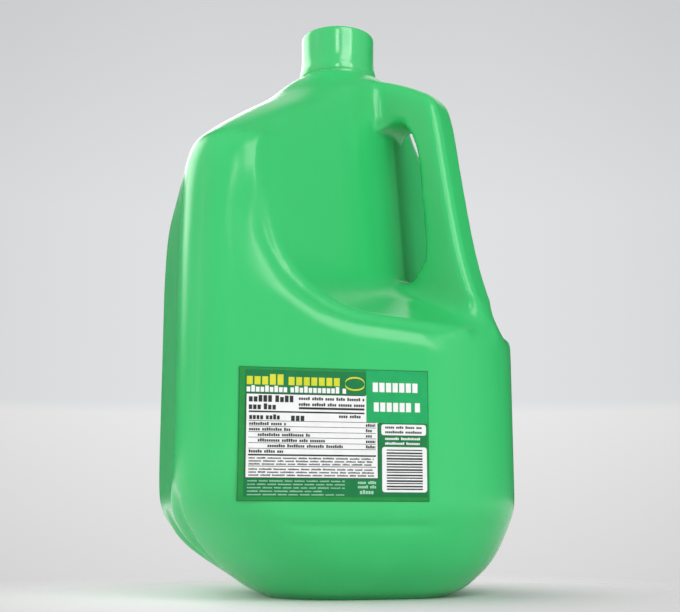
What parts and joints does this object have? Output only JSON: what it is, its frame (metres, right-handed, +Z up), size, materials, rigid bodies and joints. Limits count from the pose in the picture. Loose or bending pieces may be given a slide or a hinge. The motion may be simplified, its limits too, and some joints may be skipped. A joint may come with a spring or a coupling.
{
  "type": "plastic drink jug",
  "caption": "Green blow-moulded drink jug with a moulded corner handle, a push-on cap, a sloping shoulder, a rounded foot and a rectangular label on its front.",
  "frame": {"origin": "centre of the bounding box at the level of the foot", "axes": "+Z up; the labelled side faces -Y; the handle is on the +X -Y corner"},
  "size_m": [0.1502, 0.1505, 0.261],
  "materials": {
    "jug_body": "glossy opaque blow-moulded plastic",
    "cap": "glossy injection-moulded plastic",
    "label": "printed film label, satin"
  },
  "bodies": {
    "root": {"jug_body": "jug_body", "cap": "cap", "label": "label"}
  },
  "joints": []
}
